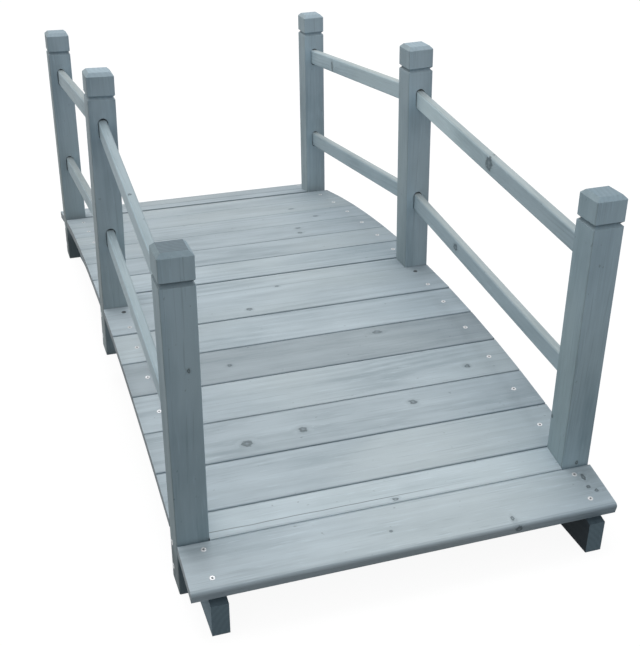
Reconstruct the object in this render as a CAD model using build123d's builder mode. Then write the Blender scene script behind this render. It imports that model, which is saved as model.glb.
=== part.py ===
"""Arched garden footbridge: sixteen deck boards on two curved bearers, six posts and eight rails.

Millimetres, +Z up. X runs across the walkway (right is +), Y runs along it (the near end is -Y).
The origin lies on the ground, at the middle of the span.
"""
import os
from math import asin, atan2, cos, degrees, sin, sqrt

from build123d import *

# ---- overall size ------------------------------------------------------------------------------
overall_length = 1530.0      # over the ends of the bearers
deck_width = 662.0           # length of the deck boards, and width over the posts
deck_crown = 162.0           # walking surface above the ground at mid span
deck_radius = 3250.0         # radius of the arched walking surface
fit = 0.3                    # clearance left at every joint that closes

# ---- bearers -----------------------------------------------------------------------------------
bearer_thickness = 26.0
bearer_foot = 150.0          # length of the level foot at each end
bearer_crown = 61.0          # height of the underside above the ground at mid span

# ---- deck boards -------------------------------------------------------------------------------
board_thickness = 17.0
board_seam = 1.2             # gap between neighbouring boards
board_easing = 1.5           # rounding of the long top edges
near_run_widths = (95, 94, 98, 99, 98)       # shares of the near run, from the near end
far_run_widths = (87, 93, 97, 95, 100, 100)  # shares of the far run, from mid span
wide_board_reach = 134.0     # from mid span forward to the front edge of the notched board
wide_board_gap = 5.0         # open gap behind the notched board
far_gap = 14.0               # open gap in front of the far posts
nose_setback = 9.0           # front edge of a nose board behind the bearer end
nose_rounding = 6.0

# ---- posts -------------------------------------------------------------------------------------
post_size = 48.0
post_easing = 1.2            # chamfer of the upright edges
post_cheek = 24.0            # wood outside the bearer, where the post is rebated over it
post_lean = {"near": 0.4, "mid": 1.65, "far": 0.95}     # degrees that a post tips in over the walkway
post_inset = 122.0           # end of a bearer to the centre line of its end posts
post_above_deck = 438.0
head_bevel = 6.0
head_height = 32.0           # upright sides of the head, between the bevel and the groove
groove_height = 8.0
groove_depth = 4.5

# ---- rails -------------------------------------------------------------------------------------
rail_thickness = 14.5
rail_height = 33.0
rail_rounding = 4.0
mortise_side_gap = 1.5       # play on each side of a rail
mortise_top_gap = 5.5        # height of a mortise over that of its rail
mortise_depth = 18.0
tenon_depth = 12.0           # length of rail inside a mortise
mortise_floors = {"upper": 322.5, "lower": 120.5}   # above the walking surface beside the post

# ---- derived -----------------------------------------------------------------------------------
bearer_radius = deck_radius - board_thickness
bearer_crest = deck_crown - board_thickness
bearer_half = overall_length / 2
post_pitch = bearer_half - post_inset        # mid post to end post, centre to centre
bearer_outer = deck_width / 2 - post_cheek - fit
bearer_x = bearer_outer - bearer_thickness / 2
post_x = (deck_width - post_size) / 2
post_inner = deck_width / 2 - post_size
post_stations = {"near": -post_pitch, "mid": 0.0, "far": post_pitch}
mortise_width = rail_thickness + 2 * mortise_side_gap
mortise_height = rail_height + mortise_top_gap
# a rail rests with its rounded lower edges on the round floor of the mortise
arc_reach = mortise_width / 2 - rail_rounding
edge_reach = rail_thickness / 2 - rail_rounding
rail_seat = arc_reach - sqrt((arc_reach - fit) ** 2 - edge_reach**2)


def arch_drop(y, radius):
    """Fall of an arc of this radius from its crest at the distance y from mid span."""
    return radius - sqrt(radius * radius - y * y)


def along(y):
    """Length along the bearer's curved top from mid span to the station y."""
    return bearer_radius * asin(y / bearer_radius)


def deck_level(station):
    """Height of the walking surface at a station along the bridge."""
    return deck_crown - arch_drop(station, deck_radius)


def section_plane(s):
    """Plane across the bridge, touching the bearers' top at the arc length s, its y axis upright."""
    angle = s / bearer_radius
    origin = (0, bearer_radius * sin(angle), bearer_crest - bearer_radius * (1 - cos(angle)))
    return Plane(origin=origin, x_dir=(0, cos(angle), -sin(angle)), z_dir=(1, 0, 0))


def save(builder, name):
    """Label one finished piece and write it out as its own file."""
    builder.part.label = name
    export_step(builder.part, f"parts/{name}.step")


def make_bearer(side):
    """Curved side bearer: arched top and underside, level feet, square ends."""
    foot_end = bearer_half - bearer_foot
    end_top = bearer_crest - arch_drop(bearer_half, bearer_radius)
    with BuildPart() as bearer:
        with BuildSketch(Plane.YZ.offset(side * bearer_x)):
            with BuildLine():
                ThreePointArc((-bearer_half, end_top), (0, bearer_crest), (bearer_half, end_top))
                Line((bearer_half, end_top), (bearer_half, 0))
                Line((bearer_half, 0), (foot_end, 0))
                ThreePointArc((foot_end, 0), (0, bearer_crown), (-foot_end, 0))
                Line((-foot_end, 0), (-bearer_half, 0))
                Line((-bearer_half, 0), (-bearer_half, end_top))
            make_face()
        extrude(amount=bearer_thickness / 2, both=True)
    return bearer


def make_board(start, end, length, near_rounding=board_easing, far_rounding=board_easing):
    """Deck board between two arc lengths, lying flat on the bearers' curved tops."""
    with BuildPart() as board:
        with BuildSketch(section_plane((start + end) / 2)) as profile:
            Rectangle(end - start, board_thickness, align=(Align.CENTER, Align.MIN))
            corners = profile.vertices().group_by(Axis.Y)[-1].sort_by(Axis.X)
            fillet(corners[0], near_rounding)
            corners = profile.vertices().group_by(Axis.Y)[-1].sort_by(Axis.X)
            fillet(corners[-1], far_rounding)
        extrude(amount=length / 2, both=True)
    return board


def make_notched_board(start, end):
    """Wide board at mid span, cut away at both ends where the middle posts pass through it."""
    plain = make_board(start, end, deck_width)
    with BuildPart() as board:
        add(plain.part)
        with Locations((post_x + fit, 0, deck_crown), (-post_x - fit, 0, deck_crown)):
            Box(post_size + 4 * fit, post_size + 4 * fit, 4 * board_thickness, mode=Mode.SUBTRACT)
    return board


def post_frame(side, station):
    """Place of a post: on its axis at the walking surface, tipped in over the walkway."""
    y = post_stations[station]
    return Location((side * post_x, y, deck_level(y)), (0, -side * post_lean[station], 0))


def make_shaft(openings):
    """Plain square post about its own axis: bevelled head over a V groove, mortises for rails."""
    base = -deck_level(post_pitch) - post_size / 4
    lip = post_above_deck - head_bevel - head_height
    half_groove = groove_height / 2
    slant = degrees(atan2(groove_depth, half_groove))
    with BuildPart() as shaft:
        with BuildSketch(Plane.XY.offset(base)):
            Rectangle(post_size, post_size)
        extrude(amount=lip - groove_height - base)
        for height, way in ((lip - groove_height, 1), (lip, -1)):
            with BuildSketch(Plane.XY.offset(height)):
                Rectangle(post_size, post_size)
            extrude(amount=way * half_groove, taper=slant)
        with BuildSketch(Plane.XY.offset(lip)):
            Rectangle(post_size, post_size)
        extrude(amount=head_height + head_bevel)
        chamfer(shaft.faces().sort_by(Axis.Z)[-1].edges(), head_bevel)
        uprights = shaft.edges().filter_by(Axis.Z).filter_by(lambda edge: edge.length > head_height / 2)
        chamfer(uprights, post_easing)
        # blind round-ended mortises in the faces that take rails
        for way in openings:
            with BuildSketch(Plane.XZ.offset(-way * post_size / 2)):
                for floor in mortise_floors.values():
                    with Locations((0, floor + mortise_height / 2)):
                        SlotOverall(mortise_height, mortise_width, rotation=90)
            extrude(amount=way * mortise_depth, mode=Mode.SUBTRACT)
    return shaft


def make_post(side, station, openings):
    """Post in its place, rebated to hang on the bearer and cut level at its foot."""
    middle = post_stations[station]
    base = deck_level(middle) - deck_level(post_pitch)     # end posts stand on the ground
    near = middle - post_size
    far = middle + post_size
    shaft = make_shaft(openings)
    with BuildPart() as post:
        add(shaft.part.moved(post_frame(side, station)))
        with Locations((side * post_x, middle, base)):
            foot_align = (Align.CENTER, Align.CENTER, Align.MAX)
            Box(2 * post_size, 2 * post_size, post_size, align=foot_align, mode=Mode.SUBTRACT)
        # rebate over the bearer, its shoulder cut to the bearer's curve
        with BuildSketch(Plane.YZ.offset(side * (bearer_outer + fit))):
            with BuildLine():
                ends = [(y, bearer_crest + fit - arch_drop(y, bearer_radius)) for y in (near, middle, far)]
                ThreePointArc(*ends)
                Line(ends[2], (far, base - 1))
                Line((far, base - 1), (near, base - 1))
                Line((near, base - 1), ends[0])
            make_face()
        extrude(amount=-side * post_size, mode=Mode.SUBTRACT)
    return post


def make_rail(side, station, floor):
    """Sloping rail from a middle post to an end post, lying on the floors of its two mortises."""
    way = 1 if post_stations[station] > 0 else -1
    high_end = post_frame(side, "mid") * Location((0, way * post_size / 2, floor + rail_seat))
    low_end = post_frame(side, station) * Location((0, way * (tenon_depth - post_size / 2), floor + rail_seat))
    run = high_end.position - low_end.position
    up = Plane(high_end).z_dir + Plane(low_end).z_dir
    with BuildPart() as rail:
        with BuildSketch(Plane(origin=low_end.position, x_dir=up.cross(run), z_dir=run)):
            with Locations((0, rail_height / 2)):
                RectangleRounded(rail_thickness, rail_height, rail_rounding)
        extrude(amount=run.length + tenon_depth)
    return rail


def lay_run(name, start, end, widths):
    """Row of boards with open seams, from one arc length to another."""
    scale = (end - start) / sum(widths)
    for index, width in enumerate(widths):
        edge = start + scale * sum(widths[:index])
        save(make_board(edge, edge + scale * width - board_seam, deck_width), f"{name}_{index + 1}")


os.makedirs("parts", exist_ok=True)

# ---- bearers, posts and rails, left and right --------------------------------------------------
for side_name, side in (("left", -1), ("right", 1)):
    save(make_bearer(side), f"bearer_{side_name}")
    for station, openings in (("near", (1,)), ("mid", (-1, 1)), ("far", (-1,))):
        save(make_post(side, station, openings), f"post_{station}_{side_name}")
    for level, floor in mortise_floors.items():
        for station in ("near", "far"):
            save(make_rail(side, station, floor), f"rail_{level}_{station}_{side_name}")

# ---- deck boards, from the near end to the far end ---------------------------------------------
lean = board_thickness * sin(post_pitch / bearer_radius)    # top edge of a tilted board
post_back = along(post_pitch - post_size / 2)
post_front = along(post_pitch + post_size / 2)
nose_tip = along(bearer_half - nose_setback) - lean
run_end = post_back - lean - 2 * fit
between_posts = 2 * (post_inner - fit)

save(make_board(-nose_tip, -post_front - fit, deck_width, near_rounding=nose_rounding), "board_near_nose")
save(make_board(post_front + fit, nose_tip, deck_width, far_rounding=nose_rounding), "board_far_nose")
save(make_board(-post_front - fit + board_seam, -run_end - board_seam, between_posts), "board_near_post")
save(make_board(run_end + board_seam, post_front + fit - board_seam, between_posts), "board_far_post")

wide_front = -along(wide_board_reach)
wide_back = along(post_size / 2 + fit)
save(make_notched_board(wide_front, wide_back), "board_mid_notched")

lay_run("board_near", -run_end, wide_front, near_run_widths)
lay_run("board_far", wide_back + wide_board_gap, run_end - far_gap, far_run_widths)
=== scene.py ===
"""Looks of the arched garden footbridge: stained softwood, steel screws, studio floor, light and camera."""

import random
from math import atan2, cos, pi, sin

import bmesh
import bpy
from mathutils import Euler, Matrix, Vector


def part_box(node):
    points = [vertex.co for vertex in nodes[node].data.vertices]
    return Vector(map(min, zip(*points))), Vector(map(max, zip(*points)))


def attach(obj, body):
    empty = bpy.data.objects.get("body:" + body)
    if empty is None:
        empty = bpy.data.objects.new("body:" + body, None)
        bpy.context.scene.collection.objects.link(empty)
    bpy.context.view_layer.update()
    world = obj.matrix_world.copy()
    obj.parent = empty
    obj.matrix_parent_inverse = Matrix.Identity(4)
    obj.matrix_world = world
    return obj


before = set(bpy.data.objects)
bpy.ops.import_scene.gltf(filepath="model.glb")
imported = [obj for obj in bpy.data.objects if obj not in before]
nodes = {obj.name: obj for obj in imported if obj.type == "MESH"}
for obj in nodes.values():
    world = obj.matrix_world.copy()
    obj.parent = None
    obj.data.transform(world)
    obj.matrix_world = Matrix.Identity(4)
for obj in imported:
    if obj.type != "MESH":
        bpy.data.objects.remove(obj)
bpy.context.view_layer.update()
scene = bpy.context.scene

# ---- stains, as light, middle and dark tones --------------------------------------------------------
DECK_STAIN = ((0.53, 0.618, 0.672), (0.45, 0.53, 0.578), (0.35, 0.425, 0.468))
POST_STAIN = ((0.445, 0.59, 0.68), (0.372, 0.505, 0.588), (0.268, 0.383, 0.456))
AGED_STAIN = ((0.459, 0.581, 0.66), (0.384, 0.497, 0.570), (0.277, 0.377, 0.442))
RAIL_STAIN = ((0.515, 0.605, 0.64), (0.455, 0.545, 0.578), (0.353, 0.435, 0.468))
BEARER_STAIN = ((0.26, 0.36, 0.425), (0.21, 0.30, 0.358), (0.155, 0.23, 0.278))
KNOT_HEART = (0.125, 0.155, 0.17)

# tints that multiply a stain
SHADE = (0.96, 1.0, 1.03)        # a little bluer: the tint of painted shade and painted light, and of the darker ends and seams of the deck boards
WARM = (1.0, 0.97, 0.93)         # a warmer tint, for the painted shade on the posts' left-hand faces
GREYISH = (1.02, 1.0, 0.98)     # a greyer tint, for the painted light and shade on upper faces of rails and on one board's near face

LEFT = (-1, 0, 0)
NEAR, FAR = (0, -1, 0), (0, 1, 0)
UP = (0, 0, 1)
SIDES = (("left", -1), ("right", 1))         # name, and way along X
STATIONS = ("near", "mid", "far")
AXES = {"x": Vector((1, 0, 0)), "y": Vector((0, 1, 0)), "z": Vector((0, 0, 1))}
GRAIN_TURN = {"x": (0.0, 0.0), "y": (0.0, -pi / 2), "z": (pi / 2, 0.0)}     # turns about Y and Z
LOW_SHADE_LEVELS = (0.085, 0.045)     # painted shade near the ground starts at the first height and is full at the second


def scaled(colour, factor):
    """A colour made darker or lighter."""
    return [factor * c for c in colour]


def widest_face(mesh, direction):
    """The largest face that looks along a direction."""
    way = Vector(direction)
    return max(mesh.polygons, key=lambda face: face.area * max(way.dot(face.normal), 0) ** 8)


class Graph:
    """A node tree, with short calls for adding and joining nodes."""

    def __init__(self, tree):
        self.tree = tree

    def add(self, kind, values=None, **settings):
        node = self.tree.nodes.new("ShaderNode" + kind)
        for key, value in settings.items():
            setattr(node, key, value)
        for key, value in (values or {}).items():
            self.put(value, node.inputs[key])
        return node

    def put(self, value, socket):
        if isinstance(value, bpy.types.NodeSocket):
            self.tree.links.new(value, socket)
        else:
            socket.default_value = value

    def math(self, operation, first, second=0.0, third=0.0):
        return self.add("Math", {0: first, 1: second, 2: third}, operation=operation).outputs[0]

    def product(self, value, *others):
        for other in others:
            value = self.math("MULTIPLY", value, other)
        return value

    def centred(self, value):
        """A value from 0 to 1, moved to lie about zero."""
        return self.math("SUBTRACT", value, 0.5)

    def distance(self, value, middle):
        return self.math("ABSOLUTE", self.math("SUBTRACT", value, middle))

    def vector(self, operation, first, second):
        node = self.add("VectorMath", {0: first, 1: second}, operation=operation)
        return node.outputs["Value" if operation in ("DISTANCE", "DOT_PRODUCT") else "Vector"]

    def split(self, point):
        return self.add("SeparateXYZ", {0: point}).outputs

    def noise(self, point, scale, detail=2.0, roughness=0.5):
        values = {"Vector": self.vector("MULTIPLY", point, scale), "Scale": 1.0}
        values.update({"Detail": detail, "Roughness": roughness, "Distortion": 0.0})
        return self.add("TexNoise", values).outputs["Fac"]

    def span(self, value, low, high, to_low=0.0, to_high=1.0, smooth=True):
        """The value's place between low and high, held at the ends, eased unless smooth is off."""
        values = {"Value": value, "From Min": low, "From Max": high, "To Min": to_low, "To Max": to_high}
        kind = "SMOOTHSTEP" if smooth else "LINEAR"
        return self.add("MapRange", values, interpolation_type=kind).outputs["Result"]

    def mix(self, factor, first, second, blend="MIX"):
        node = self.add("Mix", data_type="RGBA", blend_type=blend)
        self.put(factor, node.inputs["Factor"])
        for value, socket in ((first, node.inputs["A"]), (second, node.inputs["B"])):
            self.put(value if isinstance(value, bpy.types.NodeSocket) else (*value, 1.0), socket)
        return node.outputs["Result"]


class Material(Graph):
    """A new material, and its node tree."""

    def __init__(self, name):
        self.material = bpy.data.materials.new(name)
        self.material.use_nodes = True
        super().__init__(self.material.node_tree)
        self.shader = self.tree.nodes["Principled BSDF"]


class Timber(Material):
    """Stained softwood of one CAD node, its grain along the axis that is named, turned by tilt about X.

    Blotch moves the figure from lines along the grain to patches of thick and thin stain.
    A knot is (place, radius, axis, stretch): a branch that runs through the wood along that axis.
    The colour starts as stained long grain, each later call changes it, and finish puts it on the node.
    """

    def __init__(self, name, grain, stain, tone=1.0, tilt=0.0, blotch=0.0, knots=()):
        super().__init__("stain_" + name)
        self.mesh = nodes[name].data
        self.knots = knots
        chance = random.Random(name)
        low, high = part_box(name)
        self.turn = Euler((-tilt, *GRAIN_TURN[grain])).to_matrix()
        shift = Vector((chance.uniform(-9, 9), chance.uniform(-0.05, 0.05), chance.uniform(0.05, 0.10)))
        self.shift = shift - self.turn @ ((low + high) / 2)

        self.place = self.add("TexCoord").outputs["Object"]
        self.facing = self.add("NewGeometry").outputs["True Normal"]
        values = {"Vector": self.place, "Location": self.shift, "Rotation": self.turn.to_euler()}
        self.placed = self.add("Mapping", values).outputs[0]
        along = self.turn.inverted() @ AXES["x"]
        self.end = self.span(self.math("ABSOLUTE", self.looks(along)), 0.45, 0.95)

        self.light, self.middle, self.dark = (scaled(shade, tone) for shade in stain)
        swell = self.grow_knots()
        self.lay_grain(swell)
        self.colour = self.stain_wood(blotch)

    def looks(self, direction):
        """How far the surface faces a direction, from -1 to 1."""
        return self.vector("DOT_PRODUCT", self.facing, direction)

    def grow_knots(self):
        """Ragged hearts and soft halos of the knots. Returns how far they push the grain aside."""
        ragged = self.centred(self.noise(self.placed, (130.0, 210.0, 210.0)))
        self.heart = self.halo = swell = 0.0
        for spot, radius, axis, stretch in self.knots:
            branch = self.turn @ AXES[axis]
            flat = Vector((stretch, 1 - round(abs(branch.y)), 1 - round(abs(branch.z))))
            spot = self.turn @ Vector(spot) + self.shift
            away = self.vector("DISTANCE", self.vector("MULTIPLY", self.placed, flat), spot * flat)
            edge = self.math("MULTIPLY_ADD", ragged, radius * 1.5, away)
            core = self.product(self.span(edge, radius * 1.10, radius * 0.85),
                                self.span(edge, radius * 0.10, radius * 0.60, 0.50, 1.0))
            bend = self.span(away, radius * 3.2, radius * 0.3)
            self.heart = self.math("MAXIMUM", self.heart, core)
            self.halo = self.math("ADD", self.halo, bend)
            swell = self.math("MULTIPLY_ADD", bend, radius * 1.2, swell)
        return swell

    def lay_grain(self, swell):
        """Growth rings and fibres, drawn out along the grain and bent round the knots."""
        wander = self.product(self.centred(self.noise(self.placed, (1.4, 6.0, 6.0), detail=1.0)), 0.050)
        lift = self.add("CombineXYZ", {"Z": self.math("ADD", wander, swell)}).outputs[0]
        fibre = self.vector("ADD", self.placed, lift)
        values = {"Vector": self.vector("MULTIPLY", fibre, (0.10, 1.0, 1.0)), "Scale": 40.0}
        values.update({"Distortion": 3.4, "Detail": 2.0, "Detail Scale": 0.30, "Detail Roughness": 0.5})
        kinds = {"wave_type": "RINGS", "rings_direction": "X", "wave_profile": "SIN"}
        self.rings = self.add("TexWave", values, **kinds).outputs["Fac"]
        self.broad = self.noise(fibre, (2.6, 24.0, 24.0), detail=3.0, roughness=0.6)
        self.streak = self.noise(fibre, (4.5, 100.0, 100.0), detail=4.0, roughness=0.7)
        self.fine = self.noise(fibre, (11.0, 520.0, 520.0))
        self.flake = self.noise(fibre, (16.0, 300.0, 300.0), detail=3.0, roughness=0.7)
        self.pore = self.noise(fibre, (7.0, 380.0, 380.0), roughness=0.6)
        self.cloud = self.noise(self.placed, (5.0, 10.0, 10.0), detail=3.0, roughness=0.6)

    def stain_wood(self, blotch):
        """Colour of the stained long grain."""
        # the rings come and go along the wood
        shown = self.span(self.noise(self.placed, (2.2, 11.0, 11.0), detail=1.0), 0.35, 0.70, 0.25, 1.0)
        figure = self.math("MULTIPLY_ADD", self.span(self.broad, 0.25, 0.75, smooth=False), 0.42, 0.05)
        for layer, weight in (
            (self.product(self.centred(self.rings), shown), 0.20 - 0.12 * blotch),
            (self.span(self.streak, 0.25, 0.75, smooth=False), 0.26 - 0.10 * blotch),
            (self.fine, 0.10),
            (self.span(self.cloud, 0.28, 0.72, smooth=False), 0.32 + 0.18 * blotch),
        ):
            figure = self.math("MULTIPLY_ADD", layer, weight, figure)
        colour = self.mix(self.span(figure, 0.30, 0.56, smooth=False), self.dark, self.middle)
        colour = self.mix(self.span(figure, 0.55, 0.82, smooth=False), colour, self.light)
        # thin stain lets a little of the pale wood through
        hue = self.noise(self.placed, (2.6, 6.0, 6.0), detail=1.0)
        bare = [c * tint for c, tint in zip(self.light, (1.03, 1.0, 0.95))]
        colour = self.mix(self.span(hue, 0.45, 0.75, 0.0, 0.45), colour, bare)
        # short pale fibres, long dark pores and specks of dirt
        speck = self.noise(self.placed, (95.0, 150.0, 150.0), detail=1.0)
        colour = self.mix(self.span(self.flake, 0.54, 0.72, 0.0, 0.50), colour, scaled(self.light, 1.12))
        colour = self.mix(self.span(self.pore, 0.42, 0.28, 0.0, 0.36), colour, scaled(self.dark, 0.84))
        return self.mix(self.span(speck, 0.74, 0.82, 0.0, 0.45), colour, scaled(self.dark, 0.45))

    def cover(self, mask, colour):
        """Paints the colour over where the mask is."""
        self.colour = self.mix(mask, self.colour, colour)

    def tint(self, mask, colour):
        """Multiplies by the colour where the mask is."""
        self.colour = self.mix(mask, self.colour, colour, blend="MULTIPLY")

    def shade_near_ground(self, amount):
        """Painted shade: wood near the ground is darker."""
        height = self.split(self.place)["Z"]
        self.cover(self.span(height, *LOW_SHADE_LEVELS, 0.0, amount), scaled(self.dark, 0.25))

    def cut_ends(self, tone=0.6):
        """End grain drinks more stain."""
        pores = self.noise(self.placed, (40.0, 240.0, 240.0))
        figure = self.math("MULTIPLY_ADD", self.rings, 0.4, self.product(pores, 0.6))
        deep, pale = scaled(self.middle, tone * 0.88), scaled(self.middle, tone * 1.12)
        self.cover(self.end, self.mix(figure, deep, pale))

    def show_knots(self):
        """Dark mottled hearts, each in a halo of darker wood, but not on end grain."""
        if not self.knots:
            return
        sides = self.math("SUBTRACT", 1.0, self.end)
        self.cover(self.product(self.span(self.halo, 0.25, 1.0, 0.0, 0.28), sides), scaled(self.dark, 0.80))
        mottle = self.noise(self.placed, (300.0, 420.0, 420.0))
        heart = self.mix(mottle, scaled(KNOT_HEART, 0.6), scaled(KNOT_HEART, 1.8))
        self.cover(self.product(self.heart, sides, 0.88), heart)

    def crack(self, x_middle, y_middle, reach, width):
        """Fine dark line along the grain of a board's upper face, of half length reach."""
        x, y, _ = self.split(self.place)
        wave = self.centred(self.noise(self.place, (11.0, 0.0, 0.0)))
        line = self.distance(self.math("MULTIPLY_ADD", wave, 0.004, y), y_middle)
        taper = self.span(self.distance(x, x_middle), reach, reach * 0.4)
        upward = self.span(self.looks(UP), 0.8, 0.95)
        mask = self.product(self.span(line, width, width * 0.2), taper, upward, 0.75)
        self.cover(mask, scaled(self.dark, 0.35))

    def paint_side_light(self, direction, factor, shade):
        """Painted light and shade: faces that look along a direction are darker or lighter."""
        self.tint(self.span(self.looks(direction), 0.40, 0.75), scaled(shade, factor))

    def darken_mortises(self, start, slope, y_middle, half, low, high):
        """Shade in the core of a post between two heights, where only the mortises' insides show.

        The middle line of the post is x = start + slope z, and half is half its size.
        """
        x, y, z = self.split(self.place)
        off = self.distance(x, self.math("MULTIPLY_ADD", z, slope, start))
        inside = self.product(
            self.span(off, half * 0.52, half * 0.48),
            self.span(self.distance(y, y_middle), half - 0.0003, half - 0.0009),
            self.span(z, low, low + 0.001),
            self.span(z, high, high - 0.001),
        )
        self.tint(inside, scaled(SHADE, 0.25))

    def fade(self, axis, start, stop, colour):
        """The sides take on a tint more and more on the way from start to stop."""
        station = self.split(self.place)[axis]
        sides = self.span(self.looks(UP), 0.75, 0.40)
        self.tint(self.product(self.span(station, start, stop, smooth=False), sides), colour)

    def tone_ends_and_seams(self, darkening):
        """A deck board darkens towards its right end, lightens at its left, and has grime and painted shade
        at its seams.
        """
        x, y, _ = self.split(self.place)
        off = self.math("MULTIPLY_ADD", self.centred(self.cloud), 0.16, x)
        self.tint(self.span(off, 0.10, 0.33), scaled(SHADE, 0.84))
        self.tint(self.span(off, -0.18, -0.31), (1.09, 1.09, 1.09))
        if darkening:
            edges = [self.mesh.vertices[index].co.y for index in widest_face(self.mesh, UP).vertices]
            seam = self.math("MINIMUM", self.distance(y, min(edges)), self.distance(y, max(edges)))
            patchy = self.span(self.broad, 0.30, 0.62, darkening * 0.35, darkening)
            # painted shade of the gaps, together with grime, along the seams
            self.tint(self.product(self.span(seam, 0.0019, 0.0004), patchy), scaled(SHADE, 0.68))

    def finish(self, gloss=0.30):
        """Fine relief, roughness and gloss, and the material on the node."""
        height = self.math("MULTIPLY_ADD", self.rings, 0.30, self.product(self.fine, 0.70))
        bump = self.add("Bump", {"Strength": 0.20, "Distance": 0.0006, "Height": height})
        inputs = self.shader.inputs
        self.put(self.colour, inputs["Base Color"])
        self.put(self.span(self.streak, 0.3, 0.7, 0.58, 0.72, smooth=False), inputs["Roughness"])
        self.put(bump.outputs[0], inputs["Normal"])
        inputs["Specular IOR Level"].default_value = gloss
        self.mesh.materials.clear()
        self.mesh.materials.append(self.material)


# ---- deck boards ------------------------------------------------------------------------------------
# tone, and the knots that show, each as (x, y, radius, stretch)
boards = {
    "board_near_nose": (1.04, [(0.307, -0.693, 0.0058, 1.8), (0.305, -0.713, 0.0032, 0.9),
                               (0.314, -0.722, 0.0030, 0.9), (0.161, -0.741, 0.0045, 1.6),
                               (-0.0245, -0.719, 0.0020, 0.8)]),
    "board_near_post": (1.14, [(0.005, -0.664, 0.0032, 0.6)]),
    "board_near_1": (0.97, []),
    "board_near_2": (0.89, [(-0.179, -0.494, 0.0064, 0.8), (-0.084, -0.485, 0.0060, 0.8),
                            (0.115, -0.4655, 0.0058, 0.9)]),
    "board_near_3": (0.92, [(0.246, -0.397, 0.0045, 0.8)]),
    "board_near_4": (0.73, [(-0.153, -0.286, 0.0036, 0.9), (0.133, -0.254, 0.0050, 0.5)]),
    "board_near_5": (0.92, []),
    "board_mid_notched": (0.90, [(-0.068, -0.107, 0.0050, 0.9), (0.010, -0.028, 0.0026, 0.6)]),
    "board_far_1": (0.91, []),
    "board_far_2": (0.84, []),
    "board_far_3": (0.81, [(0.143, 0.241, 0.0052, 0.9), (0.149, 0.274, 0.0048, 0.8)]),
    "board_far_4": (0.81, [(0.215, 0.349, 0.0048, 0.8)]),
    "board_far_5": (0.81, [(0.183, 0.437, 0.0044, 0.6)]),
    "board_far_6": (0.81, []),
    "board_far_post": (0.81, []),
    "board_far_nose": (0.74, []),
}
# boards with no painted shade on their near and far faces and no darkened seams
NO_SEAM_SHADE = ("board_near_3", "board_far_3", "board_far_4", "board_far_5", "board_far_6")
SEAM_SHADE_AND_GRIME = 0.7

for name, (tone, knots) in boards.items():
    knots = [((x, y, 0), radius, "z", stretch) for x, y, radius, stretch in knots]
    if name == "board_near_nose":
        # this one shows in the nose
        knots.append(((0.166, -0.754, 0.066), 0.0055, "y", 0.9))
    board = Timber(name, "x", DECK_STAIN, tone, knots=knots)
    board.cut_ends()
    board.show_knots()
    if name == "board_near_post":
        board.crack(-0.17, -0.6575, reach=0.34, width=0.0012)
        # painted light on the near face
        board.paint_side_light(NEAR, 1.25, GREYISH)
    elif name not in NO_SEAM_SHADE:
        # painted shade on the near and far faces, down in the seams
        board.paint_side_light(NEAR, 0.82, SHADE)
        board.paint_side_light(FAR, 0.82, SHADE)
    board.tone_ends_and_seams(0.0 if name in NO_SEAM_SHADE else SEAM_SHADE_AND_GRIME)
    board.finish()

# ---- bearers, with painted shade on their inner and upper faces and near the ground -----------------
for side, way in SIDES:
    bearer = Timber("bearer_" + side, "y", BEARER_STAIN, tone=1.27)
    # painted shade near the ground
    bearer.shade_near_ground(0.3)
    bearer.cut_ends(tone=0.64)
    # painted shade on the inner and upper faces
    bearer.paint_side_light((-way, 0, 0), 0.15, SHADE)
    bearer.paint_side_light(UP, 0.26, SHADE)
    bearer.finish(gloss=0.10)

# ---- posts ------------------------------------------------------------------------------------------
DECK_LEVEL = {"near": 0.10, "mid": 0.17, "far": 0.10}
# heights above the deck
MORTISE_BOTTOM = 0.06
MORTISE_TOP = 0.375
DECK_FADE_TOP = 0.36
DECK_FADE_TINT = (1.0, 1.0, 0.98)
# tone, how light the left-hand face is under painted shade, how dark the post turns towards the deck, tone of
# the end grain
POST_TONES = {
    "post_near_left": (1.03, 0.84, 0.76, 0.35),
    "post_near_right": (1.18, 0.80, 0.82, 0.51),
    "post_mid_left": (1.06, 0.84, 0.74, 0.80),
    "post_mid_right": (1.16, 0.80, 0.76, 0.72),
    "post_far_left": (0.98, 0.84, 0.80, 0.72),
    "post_far_right": (1.12, 0.84, 0.86, 0.72),
}
POST_KNOTS = {
    "post_near_left": [((-0.2966, -0.667, 0.370), 0.0024, "y", 0.7)],
    "post_near_right": [((0.283, -0.623, 0.163), 0.0026, "x", 0.8),
                        ((0.309, -0.667, 0.097), 0.0024, "y", 0.7)],
}


def flat_face(name, direction):
    """Point and normal of the largest face of a node that looks along a direction."""
    mesh = nodes[name].data
    face = widest_face(mesh, direction)
    return mesh.vertices[face.vertices[0]].co, face.normal.copy()


for side, way in SIDES:
    for station in STATIONS:
        name = f"post_{station}_{side}"
        tone, left_face_lighting, darkening, end_tone = POST_TONES[name]
        stain = POST_STAIN if station == "near" else AGED_STAIN
        deck = DECK_LEVEL[station]
        low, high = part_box(name)
        half = (high.y - low.y) / 2
        point, normal = flat_face(name, (way, 0, 0))
        slope = -normal.z / normal.x
        start = point.x - slope * point.z - way * half

        post = Timber(name, "z", stain, tone, blotch=1.0, knots=POST_KNOTS.get(name, ()))
        # painted shade near the ground
        post.shade_near_ground(0.66)
        post.cut_ends(tone=end_tone)
        post.show_knots()
        # painted shade on the left-hand face
        post.paint_side_light(LEFT, left_face_lighting, WARM)
        post.darken_mortises(start, slope, low.y + half, half, deck + MORTISE_BOTTOM, deck + MORTISE_TOP)
        post.fade("Z", deck + DECK_FADE_TOP, deck, scaled(DECK_FADE_TINT, darkening))
        post.finish()

# ---- rails ------------------------------------------------------------------------------------------
RAIL_HEIGHT = 0.033
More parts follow.
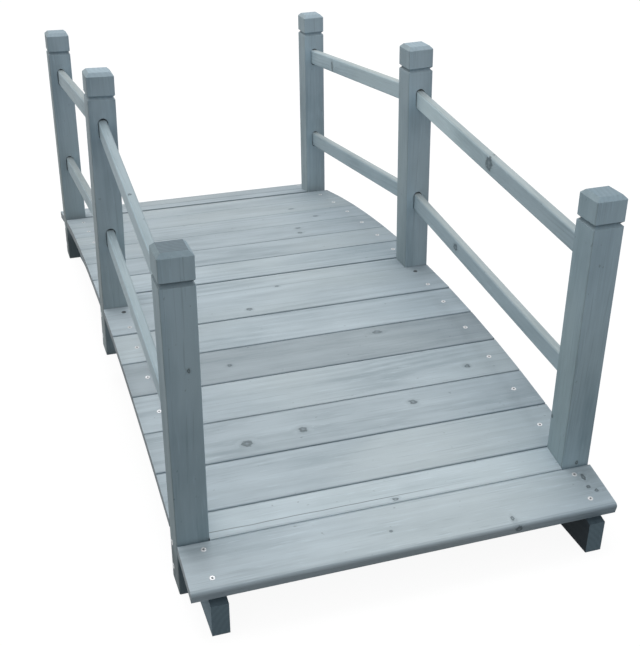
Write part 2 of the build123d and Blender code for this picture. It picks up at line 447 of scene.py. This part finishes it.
# painted light and shade: how light the upper face and the left-hand face are
RAIL_TONES = {
    "rail_upper_near_left": (0.78, 1.24),
    "rail_lower_near_left": (0.87, 1.24),
    "rail_upper_far_left": (0.66, 1.14),
    "rail_lower_far_left": (0.66, 1.14),
    "rail_upper_near_right": (0.88, 1.0),
    "rail_lower_near_right": (0.88, 0.93),
    "rail_upper_far_right": (0.86, 1.16),
    "rail_lower_far_right": (0.86, 0.95),
}
RAIL_KNOTS = {
    "rail_upper_near_right": [((0.300, -0.322, 0.474), 0.0130, "x", 1.3)],
    "rail_lower_near_right": [((0.300, -0.216, 0.282), 0.0062, "x", 0.8)],
    "rail_upper_far_right": [((0.300, 0.465, 0.453), 0.0100, "x", 1.3)],
    "rail_upper_near_left": [((-0.3035, -0.3165, 0.489), 0.0030, "z", 0.8)],
}

for name, (upper_face_lighting, left_face_lighting) in RAIL_TONES.items():
    low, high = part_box(name)
    rise = 1 if "_near_" in name else -1
    tilt = rise * atan2(high.z - low.z - RAIL_HEIGHT, high.y - low.y)
    rail = Timber(name, "y", RAIL_STAIN, tilt=tilt, blotch=0.5, knots=RAIL_KNOTS.get(name, ()))
    rail.cut_ends()
    rail.show_knots()
    # the painted light and shade on the near left rails' upper faces is bluer
    rail.paint_side_light(UP, upper_face_lighting, SHADE if name.endswith("near_left") else GREYISH)
    # painted light and shade on the left-hand face
    rail.paint_side_light(LEFT, left_face_lighting, SHADE)
    if name == "rail_upper_near_right":
        # paler towards the middle post
        rail.fade("Y", -0.36, -0.16, (1.45, 1.41, 1.36))
    rail.finish()


# ---- screws -----------------------------------------------------------------------------------------
def steel(name, colour, roughness, metallic):
    """Plated steel with fine dull spots."""
    coat = Material(name)
    dull = coat.noise(coat.add("TexCoord").outputs["Object"], (900.0, 900.0, 900.0))
    inputs = coat.shader.inputs
    coat.put(coat.mix(dull, scaled(colour, 0.8), scaled(colour, 1.1)), inputs["Base Color"])
    coat.put(coat.span(dull, 0.2, 0.8, roughness, roughness + 0.15), inputs["Roughness"])
    inputs["Metallic"].default_value = metallic
    return coat.material


ZINC = steel("zinc_steel", (0.72, 0.74, 0.76), 0.34, 0.65)
# dark steel for the cross recesses, dirt together with the painted shade of their depth; a dull screw is dark
# all over with it
SOCKET_DIRT_AND_SHADE = steel("screw_socket", (0.10, 0.12, 0.13), 0.6, 0.2)

# radius and height of the rings of a screw head, from the wood to the middle of its dish
HEAD_RINGS = ((0.0042, -0.0004), (0.0042, 0.0003), (0.0039, 0.0006), (0.0033, 0.00065), (0.0027, 0.00055))
CROSS_RADIUS = 0.0011
CROSS_ARM = 0.0011               # how far the arms of the cross reach out past that
RECESS = ((1.0, 0.0005), (0.8, 0.00012))     # size and height of the cross at its mouth and at its floor
AROUND = 32

BEARER_SCREW_LINE = 0.0023       # how far the row of screws lies outside the bearer's middle
NOSE_SCREWS = (0.0235, 0.0265)   # from the board's middle: towards its nose, and away from it
NOTCHED_SCREWS = (0.024, 0.087)  # from the near edge of the notched board
POST_SCREWS = ((0.012, 0.070), (0.014, 0.024))       # beyond the post's middle, and above its foot
POST_SCREW_SIZE = 1.1
POST_SCREW_SINK = 0.0002         # how far the screws of a post are driven in


def add_screw(mesh, place, normal, size=1.0, dull=False):
    """Countersunk screw head with a cross recess, its rim just proud of the wood.

    A dull one is dark all over.
    """
    turn = normal.to_track_quat("Z", "Y").to_matrix().to_4x4()
    # each head has come to rest at a turn of its own
    spin = Matrix.Rotation(place.x * 40 + place.y * 70, 4, "Z")
    to_world = Matrix.Translation(place) @ turn @ spin @ Matrix.Scale(size, 4)
    angles = [2 * pi * step / AROUND for step in range(AROUND)]
    cross = [CROSS_RADIUS + CROSS_ARM * abs(cos(2 * angle)) ** 3 for angle in angles]
    outlines = [([radius] * AROUND, height) for radius, height in HEAD_RINGS]
    outlines += [([share * reach for reach in cross], height) for share, height in RECESS]
    rings = []
    for radii, height in outlines:
        points = [(radius * cos(angle), radius * sin(angle), height) for radius, angle in zip(radii, angles)]
        rings.append([mesh.verts.new(to_world @ Vector(point)) for point in points])
    last_ring = len(HEAD_RINGS) - 1
    for index, (outer, inner) in enumerate(zip(rings, rings[1:])):
        for step in range(AROUND):
            after = (step + 1) % AROUND
            face = mesh.faces.new((outer[step], outer[after], inner[after], inner[step]))
            face.smooth = index < last_ring
            # the shallow recess is dark with dirt and painted shade
            face.material_index = 1 if dull or index > last_ring else 0
    mesh.faces.new(rings[-1]).material_index = 1


def save_screws(name, screws):
    """One piece that holds all the screws of a row."""
    mesh = bmesh.new()
    for screw in screws:
        add_screw(mesh, *screw)
    data = bpy.data.meshes.new(name)
    mesh.to_mesh(data)
    mesh.free()
    data.materials.append(ZINC)
    data.materials.append(SOCKET_DIRT_AND_SHADE)
    piece = bpy.data.objects.new(name, data)
    scene.collection.objects.link(piece)
    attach(piece, "root")


def board_top(name, x, y):
    """Point on a board's upper face, and the face's normal."""
    point, normal = flat_face(name, UP)
    return Vector((x, y, point.z - normal.y / normal.z * (y - point.y))), normal


def screw_stations(name):
    """Where along the walkway a board's screws are: two in each nose board and in the notched one."""
    near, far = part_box(name)
    middle = (near.y + far.y) / 2
    outside, inside = NOSE_SCREWS
    if name == "board_near_nose":
        return middle - outside, middle + inside
    if name == "board_far_nose":
        return middle - inside, middle + outside
    if name == "board_mid_notched":
        return [near.y + offset for offset in NOTCHED_SCREWS]
    return [middle]


def deck_screws(side, way):
    """Row of screws through the boards into a bearer. The boards between posts have none.

    The second screw in the notched board is dull.
    """
    low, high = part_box("bearer_" + side)
    x = (low.x + high.x) / 2 + way * BEARER_SCREW_LINE
    row = []
    for name in boards:
        if not name.endswith("_post"):
            for index, y in enumerate(screw_stations(name)):
                dull = name == "board_mid_notched" and index == 1
                row.append((*board_top(name, x, y), 1.0, dull))
    return row


def post_screws(side, way):
    """Two screws through the outer face of each post into the bearer."""
    row = []
    for station in STATIONS:
        name = f"post_{station}_{side}"
        low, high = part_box(name)
        point, normal = flat_face(name, (way, 0, 0))
        for offset, rise in POST_SCREWS:
            y = (low.y + high.y) / 2 + offset
            z = low.z + rise
            x = point.x - (normal.y * (y - point.y) + normal.z * (z - point.z)) / normal.x
            row.append((Vector((x, y, z)) - POST_SCREW_SINK * normal, normal, POST_SCREW_SIZE))
    return row


for side, way in SIDES:
    save_screws("deck_screws_" + side, deck_screws(side, way))
    save_screws("post_screws_" + side, post_screws(side, way))

# ---- floor and surroundings -------------------------------------------------------------------------
FLOOR_HALF = 14.0
FLOOR_DROP = 0.0005              # how far the floor lies under the feet of the bridge
FLOOR_GLOW = 0.93
SKY = (0.33, 0.56)               # strength of the sky at the horizon and higher up
SKY_TOP = 0.45                   # share of the dome's height at which it reaches the second strength


def make_floor():
    """Dark floor that shows white, with a faint shadow, to the camera and in glosses."""
    grid = bmesh.new()
    bmesh.ops.create_grid(grid, x_segments=1, y_segments=1, size=FLOOR_HALF)
    data = bpy.data.meshes.new("floor")
    grid.to_mesh(data)
    grid.free()
    floor = bpy.data.objects.new("floor", data)
    floor.location.z = -FLOOR_DROP
    scene.collection.objects.link(floor)

    paint = Material("studio_floor")
    paint.shader.inputs["Base Color"].default_value = (0.05, 0.05, 0.05, 1)
    paint.shader.inputs["Roughness"].default_value = 0.9
    path = paint.add("LightPath").outputs
    seen = paint.math("MAXIMUM", path["Is Camera Ray"], path["Is Glossy Ray"])
    seen = paint.math("MAXIMUM", seen, path["Is Transmission Ray"])
    white = paint.add("Emission", {"Color": (1, 1, 1, 1), "Strength": FLOOR_GLOW})
    faint = paint.add("BsdfDiffuse", {"Color": (0.12, 0.12, 0.12, 1)})      # this takes the shadow
    pale = paint.add("AddShader", {0: white.outputs[0], 1: faint.outputs[0]})
    both = paint.add("MixShader", {0: seen, 1: paint.shader.outputs[0], 2: pale.outputs[0]})
    paint.put(both.outputs[0], paint.tree.nodes["Material Output"].inputs["Surface"])
    data.materials.append(paint.material)
    return floor


def make_world():
    """White to the camera and in glosses, and for the light a sky that is dimmer near the horizon."""
    world = bpy.data.worlds.new("studio")
    world.use_nodes = True
    scene.world = world
    dome = Graph(world.node_tree)
    height = dome.split(dome.add("TexCoord").outputs["Generated"])["Z"]
    sky = dome.span(height, 0.0, SKY_TOP, *SKY, smooth=False)
    path = dome.add("LightPath").outputs
    seen = dome.math("MAXIMUM", path["Is Camera Ray"], path["Is Glossy Ray"])
    background = dome.tree.nodes["Background"].inputs
    dome.put((1.0, 1.0, 1.0, 1), background["Color"])
    dome.put(dome.span(seen, 0.0, 1.0, sky, 1.0, smooth=False), background["Strength"])


def softbox(name, place, target, size, power):
    """Square studio lamp that faces a point."""
    lamp = bpy.data.lights.new(name, "AREA")
    lamp.shape = "SQUARE"
    lamp.size = size
    lamp.energy = power
    body = bpy.data.objects.new(name, lamp)
    body.location = place
    body.rotation_euler = (Vector(target) - Vector(place)).to_track_quat("-Z", "Y").to_euler()
    scene.collection.objects.link(body)


floor = make_floor()
make_world()
softbox("overhead", (-0.3, 1.5, 5.0), (0, 0, 0.1), size=3.2, power=136)
softbox("left_fill", (-3.0, -0.4, 1.5), (0, 0, 0.3), size=1.6, power=3)


# ---- camera -----------------------------------------------------------------------------------------
def aim_camera(place, yaw, pitch, roll):
    """Camera frame from its heading, tilt and roll in radians."""
    forward = Vector((-sin(yaw) * cos(pitch), cos(yaw) * cos(pitch), sin(pitch)))
    right = Vector((cos(yaw), sin(yaw), 0))
    up = right.cross(forward)
    across = cos(roll) * right + sin(roll) * up
    rise = -sin(roll) * right + cos(roll) * up
    turn = Matrix((across, rise, -forward)).transposed().to_4x4()
    return Matrix.Translation(place) @ turn


camera_data = bpy.data.cameras.new("camera")
camera_data.sensor_width = 36.0
camera_data.lens = 58.86
camera_data.shift_x = 0.0373
camera_data.shift_y = 0.0893
camera = bpy.data.objects.new("camera", camera_data)
camera.matrix_world = aim_camera((-0.5180, -1.8427, 1.0460), yaw=-0.3020, pitch=-0.5270, roll=-0.0075)
scene.collection.objects.link(camera)
scene.camera = camera
scene.view_settings.view_transform = "Standard"
